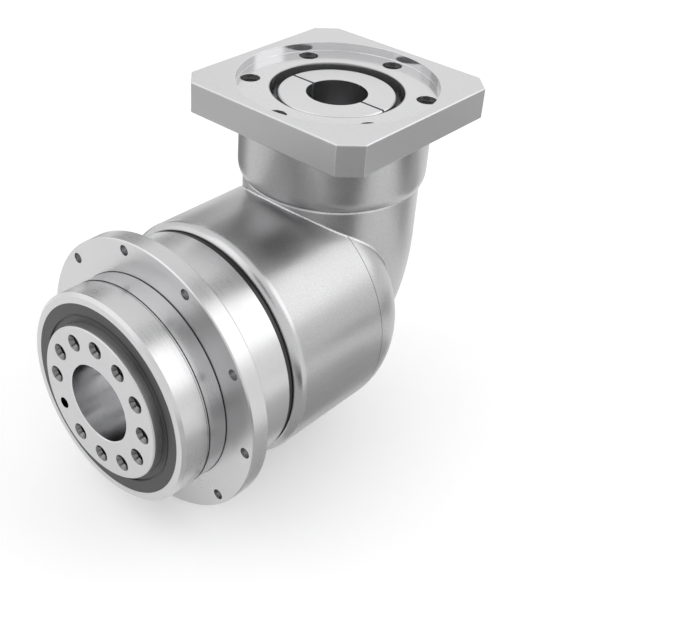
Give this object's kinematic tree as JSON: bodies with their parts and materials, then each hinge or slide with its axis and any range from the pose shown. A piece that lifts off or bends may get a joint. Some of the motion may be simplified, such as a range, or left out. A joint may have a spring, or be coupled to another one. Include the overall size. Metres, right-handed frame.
{
  "type": "right-angle gearbox",
  "caption": "Right-angle planetary gearbox: elbow housing, round output flange with threaded holes, and a square motor plate over a slotted clamping hub.",
  "frame": {"origin": "centre of the housing flange's mounting face, on the output axis", "axes": "-Y along the output axis, out of the output flange; +Z along the input axis, out of the motor plate"},
  "size_m": [0.145, 0.2221, 0.1905],
  "materials": {
    "machined_steel": "turned",
    "ground_steel": "ground",
    "cage_steel": "pressed sheet",
    "screw_steel": "black oxide",
    "aluminium": "fine satin",
    "seal_rubber": "matte",
    "plug_plastic": "matte"
  },
  "bodies": {
    "housing": {"elbow_housing": "aluminium", "output_housing": "machined_steel", "rear_housing_ring": "machined_steel", "ring_gear": "machined_steel", "housing_sealing_ring": "seal_rubber", "output_seal": "seal_rubber", "main_bearing_front_outer": "machined_steel", "main_bearing_rear_outer": "machined_steel", "sun_bearing_sleeve": "machined_steel", "sun_bearing_front_outer": "machined_steel", "sun_bearing_rear_outer": "machined_steel", "sleeve_retaining_ring": "machined_steel", "input_bearing_sleeve": "machined_steel", "sleeve_screws": "screw_steel", "input_bearing_lower_outer": "machined_steel", "input_bearing_upper_outer": "machined_steel", "input_seal": "seal_rubber", "adapter_plate": "aluminium", "adapter_screws": "screw_steel", "access_plug": "plug_plastic"},
    "carrier": {"output_carrier": "machined_steel", "carrier_locknut": "machined_steel", "planet_pins": "machined_steel", "planet_washers": "machined_steel", "main_bearing_front_inner": "machined_steel", "main_bearing_rear_inner": "machined_steel"},
    "sun": {"sun_shaft": "machined_steel", "bevel_gear": "machined_steel", "sun_locknut": "machined_steel", "sun_bearing_front_inner": "machined_steel", "sun_bearing_rear_inner": "machined_steel"},
    "input": {"input_pinion_shaft": "machined_steel", "clamp_screw": "screw_steel", "input_locknut": "machined_steel", "input_bearing_lower_inner": "machined_steel", "input_bearing_upper_inner": "machined_steel"},
    "main_rolling": {"main_bearing_front_rollers": "ground_steel", "main_bearing_front_cage": "cage_steel", "main_bearing_rear_rollers": "ground_steel", "main_bearing_rear_cage": "cage_steel"},
    "sun_rolling": {"sun_bearing_front_rollers": "ground_steel", "sun_bearing_front_cage": "cage_steel", "sun_bearing_rear_rollers": "ground_steel", "sun_bearing_rear_cage": "cage_steel"},
    "input_rolling": {"input_bearing_lower_balls": "ground_steel", "input_bearing_lower_cage": "cage_steel", "input_bearing_upper_balls": "ground_steel", "input_bearing_upper_cage": "cage_steel"},
    "planet_1": {"planet_gear_1": "machined_steel"},
    "needles_1": {"planet_needles_1": "ground_steel"},
    "planet_2": {"planet_gear_2": "machined_steel"},
    "needles_2": {"planet_needles_2": "ground_steel"},
    "planet_3": {"planet_gear_3": "machined_steel"},
    "needles_3": {"planet_needles_3": "ground_steel"}
  },
  "joints": [
    {"name": "output_spin", "type": "hinge", "parent": "housing", "child": "carrier", "pos_m": [0, 0, 0], "axis": [0, 1, 0], "continuous": true},
    {"name": "sun_spin", "type": "hinge", "parent": "housing", "child": "sun", "pos_m": [0, 0.07, 0], "axis": [0, 1, 0], "continuous": true},
    {"name": "input_spin", "type": "hinge", "parent": "housing", "child": "input", "pos_m": [0, 0.132, 0.08], "axis": [0, 0, 1], "continuous": true},
    {"name": "main_rollers_orbit", "type": "hinge", "parent": "housing", "child": "main_rolling", "pos_m": [0, 0, 0], "axis": [0, 1, 0], "continuous": true},
    {"name": "sun_rollers_orbit", "type": "hinge", "parent": "housing", "child": "sun_rolling", "pos_m": [0, 0.07, 0], "axis": [0, 1, 0], "continuous": true},
    {"name": "input_balls_orbit", "type": "hinge", "parent": "housing", "child": "input_rolling", "pos_m": [0, 0.132, 0.08], "axis": [0, 0, 1], "continuous": true},
    {"name": "planet_1_spin", "type": "hinge", "parent": "carrier", "child": "planet_1", "pos_m": [0, 0.013, 0.02592], "axis": [0, 1, 0], "continuous": true},
    {"name": "needles_1_orbit", "type": "hinge", "parent": "carrier", "child": "needles_1", "pos_m": [0, 0.013, 0.02592], "axis": [0, 1, 0], "continuous": true},
    {"name": "planet_2_spin", "type": "hinge", "parent": "carrier", "child": "planet_2", "pos_m": [0.02245, 0.013, -0.01296], "axis": [0, 1, 0], "continuous": true},
    {"name": "needles_2_orbit", "type": "hinge", "parent": "carrier", "child": "needles_2", "pos_m": [0.02245, 0.013, -0.01296], "axis": [0, 1, 0], "continuous": true},
    {"name": "planet_3_spin", "type": "hinge", "parent": "carrier", "child": "planet_3", "pos_m": [-0.02245, 0.013, -0.01296], "axis": [0, 1, 0], "continuous": true},
    {"name": "needles_3_orbit", "type": "hinge", "parent": "carrier", "child": "needles_3", "pos_m": [-0.02245, 0.013, -0.01296], "axis": [0, 1, 0], "continuous": true}
  ],
  "couplings": [
    {"joint": "sun_spin", "follows": "output_spin", "ratio": 8},
    {"joint": "input_spin", "follows": "output_spin", "ratio": 16},
    {"joint": "main_rollers_orbit", "follows": "output_spin", "ratio": 0.475},
    {"joint": "sun_rollers_orbit", "follows": "output_spin", "ratio": 3.6319},
    {"joint": "input_balls_orbit", "follows": "output_spin", "ratio": 6.9333},
    {"joint": "planet_1_spin", "follows": "output_spin", "ratio": -2.3333},
    {"joint": "needles_1_orbit", "follows": "output_spin", "ratio": -1.356},
    {"joint": "planet_2_spin", "follows": "output_spin", "ratio": -2.3333},
    {"joint": "needles_2_orbit", "follows": "output_spin", "ratio": -1.356},
    {"joint": "planet_3_spin", "follows": "output_spin", "ratio": -2.3333},
    {"joint": "needles_3_orbit", "follows": "output_spin", "ratio": -1.356}
  ]
}
